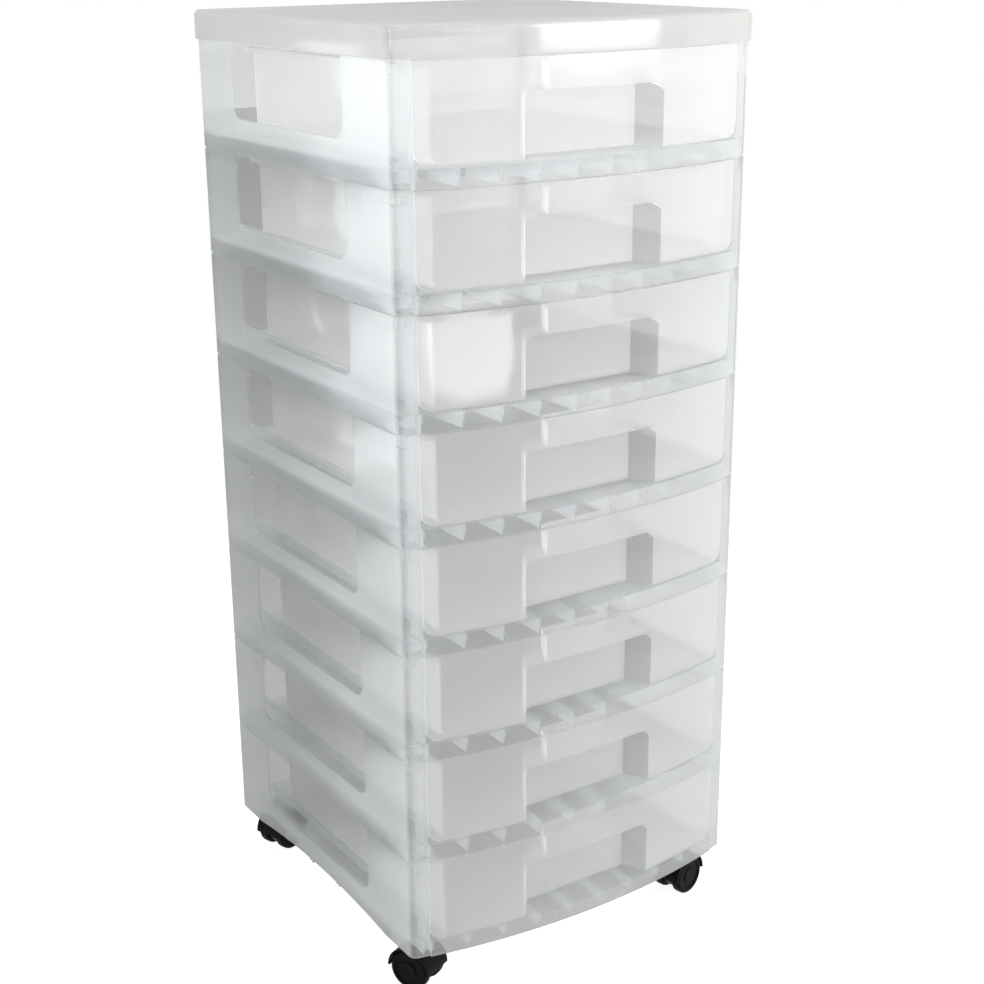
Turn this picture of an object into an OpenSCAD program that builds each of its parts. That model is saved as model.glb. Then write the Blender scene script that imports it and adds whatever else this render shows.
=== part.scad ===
// Stacking drawer tower: ribbed frames, bowed drawers, a flat cover and four twin-wheel castors.
// The origin is on the floor under the middle of the tower, with the drawers facing -Y.

/* [Tower] */
// Number of stacked levels, with one drawer in each
levels = 8; // [2:1:8]
// Width across the side walls
body_w = 390; // [370:5:420]
// Depth from the front corners to the back wall
body_d = 375; // [365:5:420]
// How far the middle of the front stands forward of the front corners
front_bow = 25; // [18:1:32]
// Height of one level, from one frame's lower edge to the next
level_h = 106; // [100:1:130]
// Radius of the upright corners
corner_r = 8; // [6:0.5:12]

/* [Frame] */
// Thickness of the frame walls
frame_wall = 2.5; // [2:0.25:3]
// Height of the ribbed shelf and of its front rail
shelf_h = 18; // [15:1:22]
// Thickness of the shelf plate
shelf_t = 2; // [1.5:0.25:3]
// Thickness of the ribs under the shelf
rib_t = 1.6; // [1.2:0.2:2.4]
// Number of cells between ribs along the front rail
rib_cells = 9; // [6:1:12]
// Spacing of the ribs that run from side to side
cross_rib_pitch = 58; // [45:1:70]
// Distance from the side walls to the outermost rib
edge_rib_inset = 14.5; // [10:0.5:17]
// How far the front rail stands proud of the posts
rail_proud = 2; // [1:0.25:3]
// Width of each front post
post_w = 18; // [15:1:22]
// Depth of the return wall behind each front post
jamb_d = 14; // [8:1:20]
// Width of the opening between the posts that one front leaves at each side
front_side_gap = 1; // [0.5:0.25:2]

/* [Windows] */
// Distance from the front corners to the side windows
window_front = 82; // [60:1:100]
// Length of the side windows
window_l = 220; // [160:5:230]
// Height of the solid band below the windows
band_h = 35; // [30:1:45]
// Radius of the lower corners of the windows
window_r = 14; // [6:1:20]
// Width of each of the two rear windows
rear_window_w = 84; // [60:2:90]
// Width of the bar between the rear windows
rear_bar_w = 24; // [16:2:40]

/* [Stacking joint] */
// Height of the tongues that locate the next frame
tongue_h = 6; // [4:0.5:8]
// Thickness of the tongues
tongue_t = 2; // [1.5:0.25:3]
// Clearance around the tongues
tongue_fit = 0.3; // [0.2:0.1:0.6]
// Height of the shadow groove along each frame's lower edge
groove_h = 2.5; // [1.5:0.5:4]
// Depth of the shadow groove
groove_d = 1; // [0.5:0.25:1.5]

/* [Drawer] */
// Width of the tray at its rim
tray_w = 324; // [300:2:326]
// Distance from the front corners to the back of the tray
tray_d = 330; // [300:5:340]
// Wall and floor thickness of the tray
tray_wall = 2; // [1.6:0.2:3]
// Radius of the tray's rear corners
tray_corner_r = 20; // [12:1:28]
// Radius along the bottom of the tray
tray_edge_r = 8; // [4:1:12]
// How far the tray rim stands out
rim_w = 9; // [5:0.5:11]
// Thickness of the rim
rim_t = 2; // [1.5:0.25:3]
// Height of the rim's turned-down edge
rim_lip = 5; // [3:0.5:8]
// How far the rim lies below the top of the front
rim_drop = 4.5; // [3:0.5:8]
// Thickness of the drawer front
front_t = 2.4; // [2:0.2:3.2]
// Gap above and below the drawer front
front_gap = 1.5; // [1:0.25:2.5]
// Radius of the lower corners of the drawer front
front_corner_r = 12; // [6:1:16]
// Gap under the tray and beside it
slide_gap = 0.4; // [0.3:0.05:0.8]
// Height of the two runners that carry the tray
runner_h = 1.5; // [1:0.25:2.5]
// Width of each runner
runner_w = 4; // [3:0.5:8]
// Distance between the runners
runner_gauge = 250; // [200:5:270]
// Height of the guides beside the tray
guide_h = 10; // [6:1:14]
// Thickness of the guides
guide_t = 2; // [1.5:0.25:3]
// Gap between the tray and each guide
guide_gap = 1; // [0.5:0.25:1.5]

/* [Finger pocket] */
// Width of the arch in the drawer front
arch_w = 156; // [120:2:170]
// Height of the lip above the arch
lip_h = 28; // [22:1:34]
// Radius of the arch's upper corners
arch_r = 16; // [8:1:22]
// Distance from the front corners back to the pocket's rear wall
pocket_d = 2; // [-2:0.5:8]
// How much narrower each side of the pocket is at its rear wall
pocket_flare = 17; // [8:1:20]
// Width of the neck behind the lip
neck_w = 106; // [80:2:112]
// How much narrower each side of the neck is at its rear wall
neck_flare = 14; // [6:1:16]

/* [Cover] */
// Height of the cover
cover_h = 28; // [20:1:36]
// How far the cover stands out past the body
cover_overhang = 3; // [2:0.5:5]
// Thickness of the cover's top
cover_t = 2.5; // [2:0.25:4]
// Radius along the cover's upper edge
cover_edge_r = 5.5; // [3:0.5:8]
// Depth of the ribs under the cover
cover_rib_h = 10; // [6:1:14]

/* [Castors] */
// Height of the castors, from the floor to the base frame
castor_h = 53; // [51:1:60]
// Radius of the wheels
wheel_r = 21; // [18:0.5:22]
// Thickness of each wheel
wheel_t = 11; // [9:0.5:13]
// Width of the housing between the wheels
housing_w = 12; // [12:0.5:16]
// Gap between a wheel and its housing
wheel_gap = 0.5; // [0.3:0.1:1]
// Thickness of the hood over the wheels
hood_t = 2; // [1.5:0.25:2.5]
// Radius of the axle
axle_r = 3; // [2.5:0.25:3.5]
// Thickness of the disc that closes each wheel over the end of the axle
hub_t = 2; // [1.5:0.25:2.5]
// Radius of the stem
stem_r = 4; // [3:0.25:4]
// Radial clearance of the wheels on the axle and of the housing on the stem
running_fit = 0.05; // [0.02:0.01:0.08]
// Distance from the stem's axis to the axle
castor_trail = 9; // [7.5:0.5:12]
// Distance from the side walls to the stems
castor_inset = 30; // [28:1:45]
// Distance from the front corners and the back wall to the stems
castor_inset_y = 26; // [25:1:45]
// Depth of the sockets in the base frame
socket_depth = 11; // [8:0.5:12]
// Radius of the sockets' bosses
socket_r = 11; // [9:0.5:14]
// Thickness of the collar on each stem
collar_t = 1; // [0.8:0.1:1.5]
// Radius of the collar
collar_r = 7; // [6:0.5:9]
// How much lower than a full frame the base frame's underside is cut
base_trim = 3; // [1:0.5:5]
// Rise of the arch in the base frame's side skirts
skirt_rise = 10; // [4:1:11]
// Distance from each end of the side skirt to its arch
skirt_foot = 50; // [40:5:70]

/* [Hidden] */
CORNERS = ["front_left", "front_right", "rear_left", "rear_right"];

// Direction in which each castor trails, in degrees from +X
trail_angle = [115, 195, 20, 200];

rear_y = (body_d + front_bow) / 2;
front_y = rear_y - body_d;
apex_y = front_y - front_bow;
bow_r = (pow(body_w / 2, 2) + pow(front_bow, 2)) / (2 * front_bow);
arc_y = apex_y + bow_r;
corner_x = body_w / 2 - corner_r;
corner_front_y = arc_y - sqrt(pow(bow_r - corner_r, 2) - pow(corner_x, 2));
corner_rear_y = rear_y - corner_r;

opening_w = body_w - 2 * post_w;
tongue_inset = frame_wall + tongue_fit;
tongue_inner = tongue_inset + tongue_t;
tray_z = shelf_h + runner_h + slide_gap;
front_z = shelf_h + front_gap;
front_top = level_h - front_gap;
tray_top = front_top - rim_drop;
tray_rear_y = front_y + tray_d;
arch_top = front_top - lip_h;
pocket_y = front_y + pocket_d;
front_w = opening_w - 2 * front_side_gap;
stack_z = castor_h - base_trim;
cover_z = stack_z + levels * level_h;

barrel_r = housing_w / 2;
housing_top = castor_h - collar_t - 0.5;
hood_gap = 1;
hood_r = wheel_r + hood_gap + hood_t;
hood_w = housing_w + 2 * (wheel_t + wheel_gap);
web_r = 0.82 * wheel_r;
axle_play = 0.3;
axle_l = housing_w + 2 * (wheel_gap + wheel_t - hub_t - axle_play);
hub_r = axle_r + 5.5;

far = 1000;
over = 1;
clear_white = [0.90, 0.92, 0.93, 0.55];
cover_white = [0.86, 0.86, 0.84, 0.75];
castor_black = [0.06, 0.06, 0.06];

// ---------------------------------------------------------------- outline of the body

// The corner that is rounded off on the +X side: one at the front, one at the rear
module corner_waste(inset) {
    half = body_w / 2 - inset + over;
    out = [corner_x, corner_front_y - arc_y] / (bow_r - corner_r);
    tip = [corner_x, corner_front_y] + out * (corner_r - inset + over);
    polygon([[corner_x, corner_front_y], [half, corner_front_y], [half, tip[1]], tip]);
    translate([corner_x, corner_rear_y])
        square([half - corner_x, rear_y - inset + over - corner_rear_y]);
}

// Plan outline with the bowed front, drawn inset from the outer face
module plan(inset = 0) {
    half = body_w / 2 - inset;
    difference() {
        intersection() {
            translate([0, arc_y]) circle(r = bow_r - inset, $fn = 720);
            translate([-half, apex_y - corner_r])
                square([2 * half, rear_y - inset - apex_y + corner_r]);
        }
        corner_waste(inset);
        mirror([1, 0]) corner_waste(inset);
    }
    for (x = [-corner_x, corner_x], y = [corner_front_y, corner_rear_y])
        translate([x, y]) circle(r = corner_r - inset, $fn = 64);
}

module plan_ring(outer, inner) {
    difference() {
        plan(outer);
        plan(inner);
    }
}

// A band of the plan, between -half_w and half_w in X
module plan_strip(outer, inner, half_w, depth) {
    intersection() {
        plan_ring(outer, inner);
        translate([-half_w, apex_y - corner_r]) square([2 * half_w, depth + corner_r]);
    }
}

// ---------------------------------------------------------------- frames

// Upright shape with rounded lower corners, standing on its lower edge
module notch(w, h, r) {
    translate([r, 0]) square([w - 2 * r, h]);
    translate([0, r]) square([w, h - r]);
    for (x = [r, w - r]) translate([x, r]) circle(r = r, $fn = 48);
}

module side_windows() {
    translate([0, front_y + window_front, band_h])
        rotate([90, 0, 90])
            linear_extrude(body_w + 2 * over, center = true) notch(window_l, level_h, window_r);
}

module rear_windows() {
    for (x = [-rear_bar_w / 2 - rear_window_w, rear_bar_w / 2])
        translate([x, rear_y + over, band_h])
            rotate([90, 0, 0])
                linear_extrude(tongue_inner + 3 * over) notch(rear_window_w, level_h, window_r);
}

module drawer_opening() {
    translate([-opening_w / 2, apex_y - corner_r, shelf_h])
        cube([opening_w, front_bow + corner_r + jamb_d, level_h]);
}

// Outer walls with the tongues that locate the next frame
module frame_walls() {
    difference() {
        union() {
            linear_extrude(level_h) plan_ring(0, frame_wall);
            translate([0, 0, level_h - 2 * tongue_h])
                linear_extrude(2 * tongue_h) plan_ring(frame_wall / 2, tongue_inner);
            translate([0, 0, level_h - over])
                linear_extrude(tongue_h + over) plan_ring(tongue_inset, tongue_inner);
        }
        drawer_opening();
        side_windows();
        rear_windows();
        translate([0, 0, -over]) linear_extrude(groove_h + over) plan_ring(-over, groove_d);
    }
}

// Return walls that close the front posts towards the drawer
module jambs() {
    translate([0, 0, shelf_h - shelf_t])
        linear_extrude(level_h - shelf_h + shelf_t)
            intersection() {
                plan(frame_wall / 2);
                for (side = [0, 1]) mirror([side, 0])
                    translate([opening_w / 2, apex_y]) square([frame_wall, front_bow + jamb_d]);
            }
}

// Grid of ribs under the shelf, cut back where the tongues of the frame below enter
module shelf_ribs() {
    rib_span = opening_w - 8;
    edge_x = body_w / 2 - edge_rib_inset;
    difference() {
        linear_extrude(shelf_h - shelf_t / 2)
            intersection() {
                plan(frame_wall / 2);
                union() {
                    for (k = [0:rib_cells])
                        translate([-rib_span / 2 + k * rib_span / rib_cells - rib_t / 2, apex_y])
                            square([rib_t, body_d + front_bow]);
                    for (x = [-edge_x, edge_x])
                        translate([x - rib_t / 2, apex_y]) square([rib_t, body_d + front_bow]);
                    for (y = [front_y + 40:cross_rib_pitch:rear_y - 20])
                        translate([-body_w / 2, y - rib_t / 2]) square([body_w, rib_t]);
                }
            }
        translate([0, 0, -over])
            linear_extrude(tongue_h + 2 * over) plan_ring(frame_wall, tongue_inner + tongue_fit);
    }
}

module shelf() {
    translate([0, 0, shelf_h - shelf_t]) linear_extrude(shelf_t) plan(frame_wall / 2);
    shelf_ribs();
    linear_extrude(shelf_h)
        plan_strip(-rail_proud, frame_wall, opening_w / 2, front_bow + jamb_d);
}

// Runners under the tray and guides beside it
module tray_tracks() {
    track_l = body_d - jamb_d - 4 * frame_wall;
    for (side = [0, 1]) mirror([side, 0, 0]) {
        translate([runner_gauge / 2 - runner_w / 2, front_y + jamb_d, shelf_h - shelf_t / 2])
            cube([runner_w, track_l, runner_h + shelf_t / 2]);
        translate([tray_w / 2 + guide_gap, front_y + jamb_d, shelf_h - shelf_t / 2])
            cube([guide_t, track_l, guide_h + shelf_t / 2]);
    }
}

// One frame, standing on its own lower edge
module frame_body() {
    frame_walls();
    jambs();
    shelf();
    tray_tracks();
}

module frame(i) {
    color(clear_white) translate([0, 0, stack_z + (i - 1) * level_h]) frame_body();
}

module at_stems() {
    for (x = [-1, 1], y = [front_y + castor_inset_y, rear_y - castor_inset_y])
        translate([x * (body_w / 2 - castor_inset), y]) children();
}

// Arches cut into the side skirts between the corner feet
module skirt_arches() {
    chord = body_d - 2 * skirt_foot;
    arch_radius = (pow(chord / 2, 2) + pow(skirt_rise, 2)) / (2 * skirt_rise);
    for (x = [-body_w / 2 - over, body_w / 2 - frame_wall - 0.2])
        translate([x, (front_y + rear_y) / 2, base_trim + skirt_rise - arch_radius])
            rotate([0, 90, 0]) cylinder(r = arch_radius, h = frame_wall + over + 0.2, $fn = 360);
}

// Lowest frame: cut flat underneath, with a socket for a castor stem in each corner
module base_frame() {
    color(clear_white) translate([0, 0, stack_z]) difference() {
        union() {
            frame_body();
            at_stems() translate([0, 0, over]) cylinder(r = socket_r, h = shelf_h - 2 * over, $fn = 48);
        }
        translate([-far / 2, -far / 2, -far]) cube([far, far, far + base_trim]);
        at_stems() cylinder(r = stem_r, h = base_trim + socket_depth, $fn = 48);
        skirt_arches();
    }
}

// ---------------------------------------------------------------- drawers

// Plan of the tray: straight sides, rounded rear corners, bowed front
module tray_plan(inset) {
    half = tray_w / 2 - inset;
    r = tray_corner_r - inset;
    back = tray_rear_y - inset;
    intersection() {
        plan(max(inset, front_t / 2));
        union() {
            translate([-half, apex_y - over]) square([2 * half, back - r - apex_y + over]);
            translate([-half + r, back - 2 * r]) square([2 * (half - r), 2 * r]);
            for (x = [-half + r, half - r]) translate([x, back - r]) circle(r = r, $fn = 64);
        }
    }
}

// The tray as a solid block, or its hollow when drawn inset
module tray_block(inset) {
    h = tray_top - tray_z - inset + (inset > 0 ? over : 0);
    half = tray_w / 2 - inset;
    r = tray_edge_r - inset;
    intersection() {
        translate([0, 0, tray_z + inset]) linear_extrude(h) tray_plan(inset);
        translate([-half, far / 2, tray_z + inset])
            rotate([90, 0, 0]) linear_extrude(far) notch(2 * half, h, r);
        translate([-half, tray_rear_y - inset - far, tray_z + inset])
            rotate([90, 0, 90]) linear_extrude(2 * half) notch(far, h, r);
    }
}

// Plan of the finger pocket or its neck, narrower at the rear, drawn grown by a wall
module pocket_plan(half, flare, grow) {
    run = pocket_y - apex_y;
    slope = flare / run;
    side = grow * sqrt(1 + pow(slope, 2));
    rear_half = half - flare + side - grow * slope;
    polygon([
        [-half - side, apex_y - corner_r], [half + side, apex_y - corner_r],
        [half + side, apex_y], [rear_half, pocket_y + grow],
        [-rear_half, pocket_y + grow], [-half - side, apex_y]
    ]);
}

// Front view of the arch, open at the bottom
module arch(grow) {
    half = arch_w / 2 + 2 * grow;
    r = arch_r + grow;
    top = arch_top + grow;
    translate([-half, 0]) square([2 * half, top - r]);
    translate([-half + r, 0]) square([2 * (half - r), top]);
    for (x = [-half + r, half - r]) translate([x, top - r]) circle(r = r, $fn = 48);
}

// Space for the fingers: a wide pocket behind the arch and a neck behind the lip
module pocket(grow) {
    intersection() {
        linear_extrude(level_h) pocket_plan(arch_w / 2, pocket_flare, grow);
        translate([0, pocket_y + far / 2, 0])
            rotate([90, 0, 0]) linear_extrude(far) arch(grow);
    }
    translate([0, 0, arch_top - arch_r])
        linear_extrude(level_h - arch_top + arch_r)
            intersection() {
                pocket_plan(neck_w / 2, neck_flare, grow);
                plan(front_t - grow / 2);
            }
}

// Bowed front, a little narrower than the opening, with rounded lower corners
module drawer_front() {
    intersection() {
        translate([0, 0, front_z]) linear_extrude(front_top - front_z) plan_ring(0, front_t);
        translate([-front_w / 2, front_y + jamb_d, front_z])
            rotate([90, 0, 0])
                linear_extrude(far / 2) notch(front_w, front_top - front_z, front_corner_r);
    }
}

// Rim around the tray, turned down at its outer edge
module tray_rim() {
    translate([0, 0, tray_top - rim_t]) linear_extrude(rim_t) difference() {
        tray_plan(-rim_w);
        tray_plan(tray_wall);
    }
    translate([0, 0, tray_top - rim_lip]) linear_extrude(rim_lip) difference() {
        tray_plan(-rim_w);
        tray_plan(-rim_w + rim_t);
    }
}

module drawer_body() {
    difference() {
        union() {
            difference() {
                tray_block(0);
                difference() {
                    tray_block(tray_wall);
                    pocket(tray_wall);
                }
            }
            drawer_front();
            tray_rim();
        }
        pocket(0);
    }
}

module drawer(i) {
    color(clear_white) translate([0, 0, stack_z + (i - 1) * level_h]) drawer_body();
}

// ---------------------------------------------------------------- cover

// What the rounded upper edge takes off a straight or turned edge, in section
module edge_waste(reach) {
    difference() {
        translate([reach - cover_edge_r, -cover_edge_r])
            square([cover_edge_r + over, cover_edge_r + over]);
        translate([reach - cover_edge_r, -cover_edge_r]) circle(r = cover_edge_r, $fn = 48);
    }
}

// Everything that the rounded upper edge takes off the cover, with its top at Z = 0
module cover_edge_waste() {
    translate([0, arc_y]) rotate_extrude($fn = 720) edge_waste(bow_r + cover_overhang);
    for (side = [0, 1]) mirror([side, 0, 0])
        rotate([90, 0, 0]) linear_extrude(far, center = true)
            edge_waste(body_w / 2 + cover_overhang);
    rotate([90, 0, 90]) linear_extrude(far, center = true) edge_waste(rear_y + cover_overhang);
}

// Flat cover whose skirt stands on the walls of the top frame
module cover_body() {
    seat_h = 3;
    rib_half = body_w / 2 - frame_wall;
    difference() {
        union() {
            linear_extrude(cover_h) plan_ring(-cover_overhang, 0);
            linear_extrude(seat_h) plan_ring(-cover_overhang, frame_wall - tongue_fit);
            translate([0, 0, cover_h - cover_t]) linear_extrude(cover_t) plan(-cover_overhang);
            translate([0, 0, cover_h - cover_rib_h]) linear_extrude(cover_rib_h - over)
                intersection() {
                    plan(-over);
                    union() {
                        for (x = [-0.6, -0.2, 0.2, 0.6] * rib_half)
                            translate([x - rib_t / 2, apex_y]) square([rib_t, body_d + front_bow]);
                        for (y = [0.2, 0.5, 0.8] * body_d)
                            translate([-body_w / 2, front_y + y]) square([body_w, rib_t]);
                    }
                }
        }
        translate([0, 0, cover_h]) cover_edge_waste();
    }
}

module top_cover() {
    color(cover_white) translate([0, 0, cover_z]) cover_body();
}

// ---------------------------------------------------------------- castors

// Places a castor part at corner k, with the stem on the Z axis and the trail along +X
module at_castor(k) {
    x = (k % 2 == 0 ? -1 : 1) * (body_w / 2 - castor_inset);
    y = k < 2 ? front_y + castor_inset_y : rear_y - castor_inset_y;
    translate([x, y]) rotate(trail_angle[k]) children();
}

module on_axle() {
    translate([castor_trail, 0, wheel_r]) rotate([-90, 0, 0]) children();
}

// Stem with a collar that meets the underside of the base frame
module castor_stem(k) {
    stem_low = wheel_r + axle_r + 3;
    color("silver") at_castor(k) {
        translate([0, 0, stem_low])
            cylinder(r = stem_r, h = castor_h + socket_depth - 1 - stem_low, $fn = 48);
        translate([0, 0, castor_h - collar_t]) cylinder(r = collar_r, h = collar_t, $fn = 48);
    }
}

// Hood: a rounded cap over both wheels, hollow where a wheel turns
module castor_hood() {
    difference() {
        intersection() {
            on_axle() cylinder(r = hood_r, h = hood_w, center = true, $fn = 120);
            translate([castor_trail - far / 2, -far / 2, wheel_r]) cube(far);
        }
        on_axle() for (s = [0, 1]) mirror([0, 0, s]) translate([0, 0, housing_w / 2])
            cylinder(r = wheel_r + hood_gap, h = hood_w, $fn = 120);
    }
}

// Housing: a web between the wheels, a barrel around the stem and a hood over the wheels
module castor_housing(k) {
    color(castor_black) at_castor(k) difference() {
        union() {
            on_axle() cylinder(r = web_r, h = housing_w, center = true, $fn = 96);
            translate([0, 0, wheel_r]) cylinder(r = barrel_r, h = housing_top - wheel_r, $fn = 64);
            castor_hood();
        }
        translate([0, 0, wheel_r + axle_r + 2.5])
            cylinder(r = stem_r + running_fit, h = castor_h, $fn = 48);
        on_axle() cylinder(r = axle_r, h = far, center = true, $fn = 48);
    }
}

// Axle: a plain pin that both wheels hide
module castor_axle(k) {
    color("silver") at_castor(k) on_axle()
        cylinder(r = axle_r, h = axle_l, center = true, $fn = 48);
}

// Section of a wheel: rounded tread, dished faces and a bore that the hub closes outside
module wheel_section() {
    tread_r = 3;
    dish_w = wheel_r - tread_r - 2 - hub_r;
    difference() {
        union() {
            translate([axle_r + running_fit, 0]) square([wheel_r - tread_r - axle_r, wheel_t]);
            translate([wheel_r - 2 * tread_r, tread_r]) square([2 * tread_r, wheel_t - 2 * tread_r]);
            for (y = [tread_r, wheel_t - tread_r])
                translate([wheel_r - tread_r, y]) circle(r = tread_r, $fn = 32);
            translate([0, wheel_t - hub_t]) square([hub_r, hub_t]);
        }
        translate([hub_r, -over]) square([dish_w, over + 3.5]);
        translate([hub_r, wheel_t - 1]) square([dish_w, 1 + over]);
    }
}

// One wheel; the outer one lies on the side towards +Y of its castor's own frame
module castor_wheel(k, side) {
    color(castor_black) at_castor(k) on_axle()
        mirror([0, 0, side > 0 ? 0 : 1])
            translate([0, 0, housing_w / 2 + wheel_gap])
                rotate_extrude($fn = 120) wheel_section();
}

// ---------------------------------------------------------------- nodes

top_cover();
base_frame();
for (i = [2:levels])
    frame(i);
for (i = [1:levels])
    drawer(i);
for (k = [0:3]) {
    castor_stem(k);
    castor_housing(k);
    castor_axle(k);
    castor_wheel(k, -1);
    castor_wheel(k, 1);
}
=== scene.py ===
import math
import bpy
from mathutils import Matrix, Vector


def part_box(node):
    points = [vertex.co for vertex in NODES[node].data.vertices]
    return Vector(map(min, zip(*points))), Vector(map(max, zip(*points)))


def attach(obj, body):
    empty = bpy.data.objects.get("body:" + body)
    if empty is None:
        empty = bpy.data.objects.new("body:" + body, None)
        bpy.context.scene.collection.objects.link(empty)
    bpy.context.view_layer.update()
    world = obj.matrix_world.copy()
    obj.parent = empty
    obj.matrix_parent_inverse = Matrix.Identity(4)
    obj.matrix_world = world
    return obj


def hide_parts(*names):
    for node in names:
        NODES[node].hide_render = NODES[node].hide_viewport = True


bl_info = {
    "name": "Drawer Tower",
    "version": (1, 0, 0),
    "blender": (4, 5, 0),
    "location": "3D View > Sidebar > Tower",
    "description": "Clear plastics, black castors and a studio for a stacking drawer tower",
    "category": "Object",
}

import bmesh
import bpy
from mathutils import Matrix, Vector

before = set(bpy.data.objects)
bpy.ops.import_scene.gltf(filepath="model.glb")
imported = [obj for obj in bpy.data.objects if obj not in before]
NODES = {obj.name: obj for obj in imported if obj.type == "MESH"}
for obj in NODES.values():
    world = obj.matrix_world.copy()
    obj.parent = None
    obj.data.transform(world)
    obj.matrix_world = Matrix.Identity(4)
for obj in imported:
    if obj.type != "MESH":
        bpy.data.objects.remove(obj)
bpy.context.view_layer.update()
FRAMES = sorted(n for n in NODES if n.startswith("frame_")) + ["base_frame"]
DRAWERS = sorted(n for n in NODES if n.startswith("drawer_"))
HOUSINGS = sorted(n for n in NODES if n.startswith("castor_housing_"))
WHEELS = sorted(n for n in NODES if n.startswith("castor_wheel_"))
STEELS = sorted(n for n in NODES if n.startswith(("castor_stem_", "castor_axle_")))

# Patterns on the surfaces: lumps to the metre, and how much finer detail they carry.
CLOUDS = (4.0, 1.0)
WAVES = (9.0, 1.0)
MOULDED_GLOSS = (60.0, 2.0)
TURNING_MARKS = (400.0, 3.0)
NYLON_GRAIN = (900.0, 2.0)
NOISE_BAND = (0.3, 0.7)  # noise runs from 0 to 1, but mostly stays in here

# Milky clear plastic.
PLASTIC_IOR = 1.5
PLASTIC_SHINE = 1.0
PLASTIC_ROUGHNESS = (0.06, 0.1)
WAVE_HEIGHT = 0.01
PLAIN_FACING = 0.5  # the blend at which Facing is one less the cosine of the slant
FLATTEST_LOOK = 0.15  # cosine of the slant from which the haze grows no further
FAR_SIDE_SHARE = 0.5  # part of the scattered light that leaves on the far side
LAMP_PASS = 0.85  # part of the haze that the light of lamps and surroundings doesn't meet

# Black nylon and steel.
NYLON_SHINE = 0.05
NYLON_VARIATION = 0.06  # how far the roughness strays to either side
GRAIN_STRENGTH = 0.15
GRAIN_HEIGHT = 0.0002
STEEL_ROUGHNESS = (0.25, 0.4)

# Lid in metres, the steps in which its curves are drawn, and how its mesh is joined and shaded.
FOOT_IN = 0.0022  # how far the skirt's foot reaches in over the walls that carry it
FOOT_HEIGHT = 0.003
FOOT_BEVEL = 0.0006
SIDE_WALL = 0.0025
RIB = 0.0016
RIB_END_GAP = 0.0002  # long ribs stop this far short of the skirt, in front and behind
CROSS_RIB_GAP = 0.0009  # cross ribs stop this far from the middle of a long rib
RIB_ROWS = (-0.6, -0.2, 0.2, 0.6)  # across, as shares of the half width
CROSS_RIB_ROWS = (0.2, 0.5, 0.8)  # from the front corners to the back wall
BOW_STEPS = 48
CORNER_STEPS = 10
LID_EDGE_STEPS = 8
SHARP_FROM = math.radians(40)
SAME_POINT = 1e-6

# Studio.
SENSOR_WIDTH = 36
CAMERA_REACH = 50
WHITE = (1, 1, 1, 1)
FLOOR_ROUGHNESS = 0.9
FLOOR_GLOW = 0.9
FLOOR_LOST = 0.85  # part of the floor's glow that is lost behind milky plastic
SURROUNDINGS_LOST = 0.5
SURROUNDINGS_SHOWN = 1.0
COOL = (0.95, 0.98, 1.0)
PLAIN = (1.0, 1.0, 1.0)
LAMPS = (
    # name, place, aim, width and height, watts, tint, and whether it lights or is only mirrored
    ("key", (-1.9, -1.25, 1.3), (0, 0, 0.6), (1.0, 1.0), 4.5, COOL, True),
    ("fill", (1.3, -1.9, 1.25), (0, 0, 0.56), (1.0, 1.0), 12.5, PLAIN, True),
    ("top", (0.0, 0.3, 2.9), (0, 0, 0.9), (1.6, 1.6), 10, PLAIN, True),
    ("gloss on the fronts", (0.29, -1.8, 0.23), (-0.13, -0.19, 0.64), (0.46, 0.2), 4, PLAIN, False),
    ("gloss on the side", (-1.06, 1.4, 0.42), (-0.195, -0.13, 0.7), (0.2, 0.84), 2, COOL, False),
)


# ---------------------------------------------------------------- settings


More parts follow.
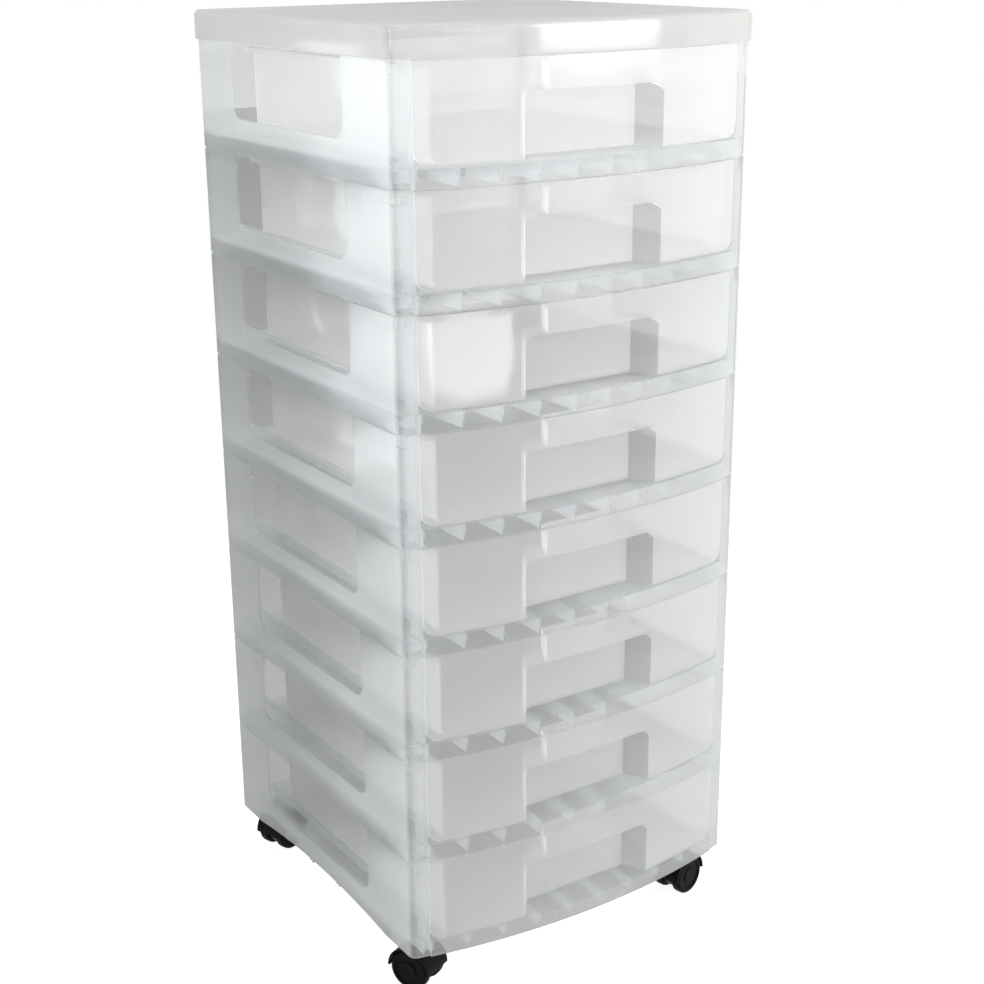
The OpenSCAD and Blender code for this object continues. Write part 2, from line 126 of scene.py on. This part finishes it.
class TowerFinishes(bpy.types.PropertyGroup):
    """Colours, clarity and finish of the plastics and the steel"""

    frame_colour: bpy.props.FloatVectorProperty(
        name="Frame colour", description="Tint of the frames",
        subtype="COLOR", size=3, min=0, max=1, default=(0.86, 0.88, 0.89))
    frame_haze: bpy.props.FloatProperty(
        name="Frame haze", description="How milky the frame walls are",
        subtype="FACTOR", min=0, max=1, default=0.22)
    frame_waves: bpy.props.FloatProperty(
        name="Frame waves", description="How wavy the frames mirror",
        subtype="FACTOR", min=0, max=1, default=0.1)
    drawer_colour: bpy.props.FloatVectorProperty(
        name="Drawer colour", description="Tint of the drawers",
        subtype="COLOR", size=3, min=0, max=1, default=(0.86, 0.865, 0.87))
    drawer_haze: bpy.props.FloatProperty(
        name="Drawer haze", description="How milky the drawers are",
        subtype="FACTOR", min=0, max=1, default=0.33)
    drawer_waves: bpy.props.FloatProperty(
        name="Drawer waves", description="How wavy the drawers mirror",
        subtype="FACTOR", min=0, max=1, default=0.35)
    lid_colour: bpy.props.FloatVectorProperty(
        name="Lid colour", description="Tint of the lid",
        subtype="COLOR", size=3, min=0, max=1, default=(0.72, 0.72, 0.70))
    lid_haze: bpy.props.FloatProperty(
        name="Lid haze", description="How milky the lid is",
        subtype="FACTOR", min=0, max=1, default=0.3)
    lid_waves: bpy.props.FloatProperty(
        name="Lid waves", description="How wavy the lid mirrors",
        subtype="FACTOR", min=0, max=1, default=0.02)
    clouding: bpy.props.FloatProperty(
        name="Clouding", description="How far the haze strays from place to place",
        subtype="FACTOR", min=0, max=1, default=0.02)
    castor_colour: bpy.props.FloatVectorProperty(
        name="Castor colour", description="Colour of the castors",
        subtype="COLOR", size=3, min=0, max=1, default=(0.004, 0.004, 0.0045))
    housing_roughness: bpy.props.FloatProperty(
        name="Housing roughness", description="How dull the castor housings are",
        subtype="FACTOR", min=0, max=1, default=0.35)
    wheel_roughness: bpy.props.FloatProperty(
        name="Wheel roughness", description="How dull the wheels are",
        subtype="FACTOR", min=0, max=1, default=0.5)
    steel_colour: bpy.props.FloatVectorProperty(
        name="Steel colour", description="Colour of the stems and the axles",
        subtype="COLOR", size=3, min=0, max=1, default=(0.62, 0.63, 0.64))


class TowerShape(bpy.types.PropertyGroup):
    """Sizes of the lid, and of the body that it follows"""

    half_width: bpy.props.FloatProperty(
        name="Half width", description="Half of the width across the side walls",
        subtype="DISTANCE", default=0.195)
    front_y: bpy.props.FloatProperty(
        name="Front corners", description="Where the front corners stand",
        subtype="DISTANCE", default=-0.175)
    rear_y: bpy.props.FloatProperty(
        name="Back wall", description="Where the back wall stands",
        subtype="DISTANCE", default=0.2)
    bow: bpy.props.FloatProperty(
        name="Bow", description="How far the front stands forward in the middle",
        subtype="DISTANCE", default=0.025)
    corner: bpy.props.FloatProperty(
        name="Corner radius", description="Radius of the upright corners",
        subtype="DISTANCE", default=0.008)
    lid_overhang: bpy.props.FloatProperty(
        name="Lid overhang", description="How far the lid stands out past the body",
        subtype="DISTANCE", default=0.0029)
    lid_edge: bpy.props.FloatProperty(
        name="Lid edge radius", description="Radius along the lid's upper edge",
        subtype="DISTANCE", default=0.0055)
    lid_plate: bpy.props.FloatProperty(
        name="Lid thickness", description="Thickness of the lid's top",
        subtype="DISTANCE", default=0.0025)
    lid_rib: bpy.props.FloatProperty(
        name="Lid rib depth", description="Depth of the ribs under the lid",
        subtype="DISTANCE", default=0.0075)


class TowerStudio(bpy.types.PropertyGroup):
    """Camera, lamps, surroundings and floor"""

    lens: bpy.props.FloatProperty(
        name="Lens", description="Focal length on a 36 mm wide sensor",
        subtype="DISTANCE_CAMERA", min=10, default=61.81)
    camera_place: bpy.props.FloatVectorProperty(
        name="Camera place", description="Where the camera stands",
        subtype="TRANSLATION", size=3, default=(-0.9068, -1.3926, 0.9974))
    camera_turn: bpy.props.FloatVectorProperty(
        name="Camera turn", description="Azimuth from +Y, drop below level and roll",
        subtype="EULER", size=3,
        default=(math.radians(33.593), math.radians(18.402), math.radians(-0.464)))
    lamp_spread: bpy.props.FloatProperty(
        name="Lamp spread", description="Opening angle of the lamps; a narrow one dims the foot",
        subtype="ANGLE", default=math.radians(64))
    surroundings: bpy.props.FloatProperty(
        name="Surroundings", description="How strongly the white surroundings light the tower",
        subtype="FACTOR", min=0, max=1, default=0.2)
    floor_size: bpy.props.FloatProperty(
        name="Floor size", description="Edge length of the floor",
        subtype="DISTANCE", min=1, default=16.0)
    floor_colour: bpy.props.FloatVectorProperty(
        name="Floor colour", description="Colour of the floor",
        subtype="COLOR", size=3, min=0, max=1, default=(0.3, 0.3, 0.3))


# ---------------------------------------------------------------- shader tools


def node(tree, kind, inputs=None, **settings):
    """Adds a node, sets its properties and its inputs by name or number."""
    made = tree.nodes.new(kind)
    for key, value in settings.items():
        setattr(made, key, value)
    for key, value in (inputs or {}).items():
        if isinstance(value, bpy.types.NodeSocket):
            tree.links.new(value, made.inputs[key])
        else:
            made.inputs[key].default_value = value
    return made


def math_node(tree, operation, a, b, clamp=False):
    """A Math node's result from two values or sockets."""
    return node(tree, "ShaderNodeMath", {0: a, 1: b}, operation=operation, use_clamp=clamp).outputs[0]


def noise(tree, scale, detail):
    """Noise that stays with the part, with this many lumps to the metre."""
    place = node(tree, "ShaderNodeTexCoord")
    lumps = node(tree, "ShaderNodeTexNoise",
                 {"Vector": place.outputs["Object"], "Scale": scale, "Detail": detail})
    return lumps.outputs["Fac"]


def stretched(tree, pattern, low, high):
    """A noise's usual band brought to the range from low to high."""
    first, last = NOISE_BAND
    return node(tree, "ShaderNodeMapRange",
                {"Value": pattern, 1: first, 2: last, 3: low, 4: high}).outputs[0]


def grain_group():
    """Uneven gloss and unevenness of height in one pattern, for every finish of the tower."""
    if "Surface grain" in bpy.data.node_groups:
        return bpy.data.node_groups["Surface grain"]
    group = bpy.data.node_groups.new("Surface grain", "ShaderNodeTree")
    for label, way in (("Scale", "INPUT"), ("Detail", "INPUT"), ("Smoothest", "INPUT"),
                       ("Roughest", "INPUT"), ("Roughness", "OUTPUT"), ("Height", "OUTPUT")):
        group.interface.new_socket(name=label, in_out=way, socket_type="NodeSocketFloat")
    given = group.nodes.new("NodeGroupInput").outputs
    result = group.nodes.new("NodeGroupOutput").inputs
    pattern = noise(group, given["Scale"], given["Detail"])
    rough = stretched(group, pattern, given["Smoothest"], given["Roughest"])
    group.links.new(rough, result["Roughness"])
    group.links.new(pattern, result["Height"])
    return group


def grain(tree, pattern, roughness=(0.0, 1.0)):
    """The surface grain in one material: its pattern, and the roughness it runs through."""
    scale, detail = pattern
    smoothest, roughest = roughness
    return node(tree, "ShaderNodeGroup",
                {"Scale": scale, "Detail": detail, "Smoothest": smoothest, "Roughest": roughest},
                node_tree=grain_group()).outputs


def seen_white(tree, lost_behind_plastic):
    """1 for what the camera, a mirror or glass shows, less behind milky plastic, 0 for the rest."""
    path = node(tree, "ShaderNodeLightPath")
    shown = math_node(tree, "MAXIMUM", path.outputs["Is Camera Ray"], path.outputs["Is Glossy Ray"])
    shown = math_node(tree, "MAXIMUM", shown, path.outputs["Is Transmission Ray"])
    behind = math_node(tree, "MINIMUM", path.outputs["Transparent Depth"], 1.0)
    lost = math_node(tree, "MULTIPLY", behind, lost_behind_plastic)
    kept = math_node(tree, "SUBTRACT", 1.0, lost)
    return math_node(tree, "MULTIPLY", shown, kept)


# ---------------------------------------------------------------- materials


def new_material(name):
    """A material with its node tree and its Principled shader."""
    material = bpy.data.materials.new(name)
    material.use_nodes = True
    return material, material.node_tree, material.node_tree.nodes["Principled BSDF"]


def share_hidden(tree, haze, clouding):
    """How much of what is behind a plastic wall its haze hides. At a slant the eye looks through
    more of the wall, and light on its way meets less of the haze than the eye does."""
    cloud = stretched(tree, noise(tree, *CLOUDS), -1.0, 1.0)
    drift = math_node(tree, "MULTIPLY", cloud, clouding)
    cloudy = math_node(tree, "ADD", drift, haze, clamp=True)
    clear = math_node(tree, "SUBTRACT", 1.0, cloudy)
    slant = node(tree, "ShaderNodeLayerWeight", {"Blend": PLAIN_FACING})
    square_on = math_node(tree, "SUBTRACT", 1.0, slant.outputs["Facing"])
    square_on = math_node(tree, "MAXIMUM", square_on, FLATTEST_LOOK)
    passed = math_node(tree, "POWER", clear, math_node(tree, "DIVIDE", 1.0, square_on))
    hidden = math_node(tree, "SUBTRACT", 1.0, passed)
    ray = node(tree, "ShaderNodeLightPath")
    light = math_node(tree, "MAXIMUM", ray.outputs["Is Shadow Ray"], ray.outputs["Is Diffuse Ray"])
    met = math_node(tree, "SUBTRACT", 1.0, math_node(tree, "MULTIPLY", light, LAMP_PASS))
    return math_node(tree, "MULTIPLY", hidden, met)


def plastic(name, colour, haze, waves, clouding):
    """A milky clear moulded plastic: part of the light goes straight through, and the haze
    scatters the rest to both sides."""
    material, tree, shader = new_material(name)
    shader.inputs["Base Color"].default_value = (*colour, 1)
    shader.inputs["IOR"].default_value = PLASTIC_IOR
    shader.inputs["Specular IOR Level"].default_value = PLASTIC_SHINE
    gloss = grain(tree, MOULDED_GLOSS, PLASTIC_ROUGHNESS)
    tree.links.new(gloss["Roughness"], shader.inputs["Roughness"])
    bump = node(tree, "ShaderNodeBump", {"Height": grain(tree, WAVES)["Height"],
                                         "Strength": waves, "Distance": WAVE_HEIGHT})
    tree.links.new(bump.outputs[0], shader.inputs["Normal"])
    glow = node(tree, "ShaderNodeBsdfTranslucent", {"Color": (*colour, 1)})
    milk = node(tree, "ShaderNodeMixShader",
                {0: FAR_SIDE_SHARE, 1: shader.outputs[0], 2: glow.outputs[0]})
    clear = node(tree, "ShaderNodeBsdfTransparent")
    wall = node(tree, "ShaderNodeMixShader",
                {0: share_hidden(tree, haze, clouding), 1: clear.outputs[0], 2: milk.outputs[0]})
    tree.links.new(wall.outputs[0], tree.nodes["Material Output"].inputs["Surface"])
    return material


def black_nylon(name, colour, roughness):
    """Moulded black nylon with a fine grain."""
    material, tree, shader = new_material(name)
    shader.inputs["Base Color"].default_value = (*colour, 1)
    shader.inputs["Specular IOR Level"].default_value = NYLON_SHINE
    skin = grain(tree, NYLON_GRAIN, (roughness - NYLON_VARIATION, roughness + NYLON_VARIATION))
    tree.links.new(skin["Roughness"], shader.inputs["Roughness"])
    bump = node(tree, "ShaderNodeBump", {"Height": skin["Height"],
                                         "Strength": GRAIN_STRENGTH, "Distance": GRAIN_HEIGHT})
    tree.links.new(bump.outputs[0], shader.inputs["Normal"])
    return material


def bright_steel(name, colour):
    """Zinc-plated steel, unevenly bright from its turning."""
    material, tree, shader = new_material(name)
    shader.inputs["Base Color"].default_value = (*colour, 1)
    shader.inputs["Metallic"].default_value = 1
    marks = grain(tree, TURNING_MARKS, STEEL_ROUGHNESS)
    tree.links.new(marks["Roughness"], shader.inputs["Roughness"])
    return material


def dress(names, material):
    """Gives CAD nodes one material."""
    for name in names:
        data = NODES[name].data
        data.materials.clear()
        data.materials.append(material)


# ---------------------------------------------------------------- shapes


def bow_circle(shape):
    """The radius of the bowed front, and where the bow's centre stands."""
    radius = (shape.half_width ** 2 + shape.bow ** 2) / (2 * shape.bow)
    return radius, shape.front_y - shape.bow + radius


def body_outline(shape, out):
    """The body's plan with its bowed front, drawn this far outside the walls."""
    corner = shape.corner
    radius, centre_y = bow_circle(shape)
    corner_x = shape.half_width - corner
    swing = math.asin(corner_x / (radius - corner))
    front_corner_y = centre_y - (radius - corner) * math.cos(swing)
    rear_corner_y = shape.rear_y - corner
    quarter = math.pi / 2
    points = []

    def turn(x, y, r, start, end, steps):
        for i in range(steps + 1):
            angle = start + (end - start) * i / steps
            points.append((x + r * math.cos(angle), y + r * math.sin(angle)))

    turn(0, centre_y, radius + out, -quarter - swing, -quarter + swing, BOW_STEPS)
    turn(corner_x, front_corner_y, corner + out, -quarter + swing, 0, CORNER_STEPS)
    turn(corner_x, rear_corner_y, corner + out, 0, quarter, CORNER_STEPS)
    turn(-corner_x, rear_corner_y, corner + out, quarter, 2 * quarter, CORNER_STEPS)
    turn(-corner_x, front_corner_y, corner + out, 2 * quarter, 3 * quarter - swing, CORNER_STEPS)
    return points


def loft(mesh, loops):
    """Skins a row of closed loops of equal length, and closes the last one."""
    rows = [[mesh.verts.new(point) for point in loop] for loop in loops]
    count = len(rows[0])
    for low, high in zip(rows, rows[1:]):
        for i in range(count):
            j = (i + 1) % count
            mesh.faces.new((low[i], low[j], high[j], high[i]))
    mesh.faces.new(rows[-1])


def block(mesh, low, high):
    """A plain bar between two corners."""
    made = bmesh.ops.create_cube(mesh, size=1)
    for vert in made["verts"]:
        vert.co = Vector([low[i] if vert.co[i] < 0 else high[i] for i in range(3)])


def new_piece(name, mesh, material):
    """Turns mesh data into an object with soft shading across shallow edges."""
    bmesh.ops.remove_doubles(mesh, verts=mesh.verts, dist=SAME_POINT)
    bmesh.ops.recalc_face_normals(mesh, faces=mesh.faces)
    data = bpy.data.meshes.new(name)
    mesh.to_mesh(data)
    mesh.free()
    data.materials.append(material)
    data.shade_smooth()
    data.set_sharp_from_angle(angle=SHARP_FROM)
    piece = bpy.data.objects.new(name, data)
    bpy.context.scene.collection.objects.link(piece)
    return piece


# ---------------------------------------------------------------- operators


class TOWER_OT_studio(bpy.types.Operator):
    """Builds the camera, the lamps, the floor and the white surroundings"""

    bl_idname = "tower.studio"
    bl_label = "Studio"

    def execute(self, context):
        studio = context.scene.tower_studio
        self.add_camera(context, studio)
        self.add_floor(context, studio)
        self.add_surroundings(context, studio)
        self.add_lamps(context, studio)
        context.scene.view_settings.view_transform = "Standard"
        return {"FINISHED"}

    def add_camera(self, context, studio):
        """Turns the camera by its azimuth and its drop, and then rolls it."""
        azimuth, drop, roll = studio.camera_turn
        ahead = Vector((math.sin(azimuth) * math.cos(drop), math.cos(azimuth) * math.cos(drop),
                        -math.sin(drop)))
        right = Vector((math.cos(azimuth), -math.sin(azimuth), 0))
        up = right.cross(ahead)
        across = math.cos(roll) * right + math.sin(roll) * up
        upright = math.cos(roll) * up - math.sin(roll) * right
        data = bpy.data.cameras.new("Camera")
        data.lens = studio.lens
        data.sensor_width = SENSOR_WIDTH
        data.clip_end = CAMERA_REACH
        camera = bpy.data.objects.new("Camera", data)
        turn = Matrix((across, upright, -ahead)).transposed().to_4x4()
        camera.matrix_world = Matrix.Translation(studio.camera_place) @ turn
        context.scene.collection.objects.link(camera)
        context.scene.camera = camera

    def add_floor(self, context, studio):
        """A flat floor that keeps the tower's shadow and looks white from afar."""
        half = studio.floor_size / 2
        mesh = bpy.data.meshes.new("floor")
        mesh.from_pydata([(-half, -half, 0), (half, -half, 0), (half, half, 0), (-half, half, 0)],
                         [], [(0, 1, 2, 3)])
        floor = bpy.data.objects.new("floor", mesh)
        context.scene.collection.objects.link(floor)
        material, tree, shader = new_material("Pale floor")
        shader.inputs["Base Color"].default_value = (*studio.floor_colour, 1)
        shader.inputs["Roughness"].default_value = FLOOR_ROUGHNESS
        shader.inputs["Emission Color"].default_value = WHITE
        glow = math_node(tree, "MULTIPLY", seen_white(tree, FLOOR_LOST), FLOOR_GLOW)
        tree.links.new(glow, shader.inputs["Emission Strength"])
        mesh.materials.append(material)

    def add_surroundings(self, context, studio):
        """Surroundings that show white and light the tower far less than that."""
        world = bpy.data.worlds.new("Studio")
        world.use_nodes = True
        tree = world.node_tree
        back = tree.nodes["Background"]
        level = node(tree, "ShaderNodeMapRange",
                     {"Value": seen_white(tree, SURROUNDINGS_LOST),
                      "To Min": studio.surroundings, "To Max": SURROUNDINGS_SHOWN})
        back.inputs["Color"].default_value = WHITE
        tree.links.new(level.outputs[0], back.inputs["Strength"])
        context.scene.world = world

    def add_lamps(self, context, studio):
        """Three soft lamps, and two that only the glossy surfaces show."""
        for name, place, aim, (width, height), watts, tint, lights in LAMPS:
            data = bpy.data.lights.new(name, "AREA")
            data.shape = "RECTANGLE"
            data.size = width
            data.size_y = height
            data.energy = watts
            data.color = tint
            if lights:
                data.spread = studio.lamp_spread
            lamp = bpy.data.objects.new(name, data)
            lamp.location = place
            lamp.rotation_euler = (Vector(aim) - Vector(place)).to_track_quat("-Z", "Y").to_euler()
            lamp.visible_diffuse = lights
            lamp.visible_transmission = lights
            context.scene.collection.objects.link(lamp)


class TOWER_OT_frames(bpy.types.Operator):
    """Gives the stacked frames their clear, faintly milky plastic"""

    bl_idname = "tower.frames"
    bl_label = "Frames"

    def execute(self, context):
        looks = context.scene.tower_finishes
        dress(FRAMES, plastic("Frame plastic", looks.frame_colour, looks.frame_haze,
                              looks.frame_waves, looks.clouding))
        return {"FINISHED"}


class TOWER_OT_drawers(bpy.types.Operator):
    """Gives the drawers their milkier plastic, with the waves that their fronts show"""

    bl_idname = "tower.drawers"
    bl_label = "Drawers"

    def execute(self, context):
        looks = context.scene.tower_finishes
        dress(DRAWERS, plastic("Drawer plastic", looks.drawer_colour, looks.drawer_haze,
                               looks.drawer_waves, looks.clouding))
        return {"FINISHED"}


class TOWER_OT_lid(bpy.types.Operator):
    """Builds the lid: a plate with a rounded edge, a skirt all round and a grid of ribs below"""

    bl_idname = "tower.lid"
    bl_label = "Lid"

    def execute(self, context):
        shape = context.scene.tower_shape
        looks = context.scene.tower_finishes
        low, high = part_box("top_cover")
        mesh = bmesh.new()
        self.add_skin(mesh, shape, low[2], high[2])
        self.add_ribs(mesh, shape, high[2])
        material = plastic("Lid plastic", looks.lid_colour, looks.lid_haze,
                           looks.lid_waves, looks.clouding)
        lid = new_piece("lid", mesh, material)
        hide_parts("top_cover")
        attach(lid, "body")
        return {"FINISHED"}

    def add_skin(self, mesh, shape, base, top):
        """Outer skin up and over the rounded edge, then the hollow with the step it sits on."""
        out = shape.lid_overhang
        r = shape.lid_edge
        skin = [(-FOOT_IN, base), (out - FOOT_BEVEL, base), (out, base + FOOT_BEVEL), (out, top - r)]
        for i in range(1, LID_EDGE_STEPS + 1):
            angle = math.pi / 2 / LID_EDGE_STEPS * i
            skin.append((out - r + r * math.cos(angle), top - r + r * math.sin(angle)))
        step = base + FOOT_HEIGHT
        hollow = [(-FOOT_IN, base), (-FOOT_IN, step), (0.0, step), (0.0, top - shape.lid_plate)]
        for section in (skin, hollow):
            loft(mesh, [[(x, y, z) for x, y in body_outline(shape, away)] for away, z in section])

    def add_ribs(self, mesh, shape, top):
        """Ribs from front to back, and cross ribs that stop short at each of them."""
        reach = shape.half_width
        radius, centre_y = bow_circle(shape)
        z1 = top - shape.lid_plate
        z0 = z1 - shape.lid_rib
        depth = shape.rear_y - shape.front_y
        rows = [share * (reach - SIDE_WALL) for share in RIB_ROWS]
        for x in rows:
            front = centre_y - math.sqrt(radius ** 2 - x * x)
            block(mesh, (x - RIB / 2, front + RIB_END_GAP, z0),
                  (x + RIB / 2, shape.rear_y - RIB_END_GAP, z1))
        stops = [-reach] + rows + [reach]
        for share in CROSS_RIB_ROWS:
            y = shape.front_y + share * depth
            for left, right in zip(stops, stops[1:]):
                block(mesh, (left + CROSS_RIB_GAP, y, z0), (right - CROSS_RIB_GAP, y + RIB, z1))


class TOWER_OT_castors(bpy.types.Operator):
    """Gives the castors their black nylon and bright steel"""

    bl_idname = "tower.castors"
    bl_label = "Castors"

    def execute(self, context):
        looks = context.scene.tower_finishes
        dress(HOUSINGS, black_nylon("Castor nylon", looks.castor_colour, looks.housing_roughness))
        dress(WHEELS, black_nylon("Wheel nylon", looks.castor_colour, looks.wheel_roughness))
        dress(STEELS, bright_steel("Bright steel", looks.steel_colour))
        return {"FINISHED"}


class TOWER_PT_panel(bpy.types.Panel):
    """Lists the settings, and the steps that dress the tower"""

    bl_idname = "TOWER_PT_panel"
    bl_label = "Drawer Tower"
    bl_space_type = "VIEW_3D"
    bl_region_type = "UI"
    bl_category = "Tower"

    def draw(self, context):
        scene = context.scene
        for settings in (scene.tower_finishes, scene.tower_shape, scene.tower_studio):
            box = self.layout.box()
            for name in type(settings).__annotations__:
                box.prop(settings, name)
        for step in STEPS:
            self.layout.operator(step.bl_idname)


STEPS = (TOWER_OT_studio, TOWER_OT_frames, TOWER_OT_drawers, TOWER_OT_lid, TOWER_OT_castors)
CLASSES = (TowerFinishes, TowerShape, TowerStudio) + STEPS + (TOWER_PT_panel,)


def register():
    for cls in CLASSES:
        bpy.utils.register_class(cls)
    bpy.types.Scene.tower_finishes = bpy.props.PointerProperty(type=TowerFinishes)
    bpy.types.Scene.tower_shape = bpy.props.PointerProperty(type=TowerShape)
    bpy.types.Scene.tower_studio = bpy.props.PointerProperty(type=TowerStudio)


def unregister():
    del bpy.types.Scene.tower_studio
    del bpy.types.Scene.tower_shape
    del bpy.types.Scene.tower_finishes
    for cls in reversed(CLASSES):
        bpy.utils.unregister_class(cls)


def main():
    """Dresses the tower step by step."""
    register()
    bpy.ops.tower.studio()
    bpy.ops.tower.frames()
    bpy.ops.tower.drawers()
    bpy.ops.tower.lid()
    bpy.ops.tower.castors()


if __name__ == "__main__":
    main()
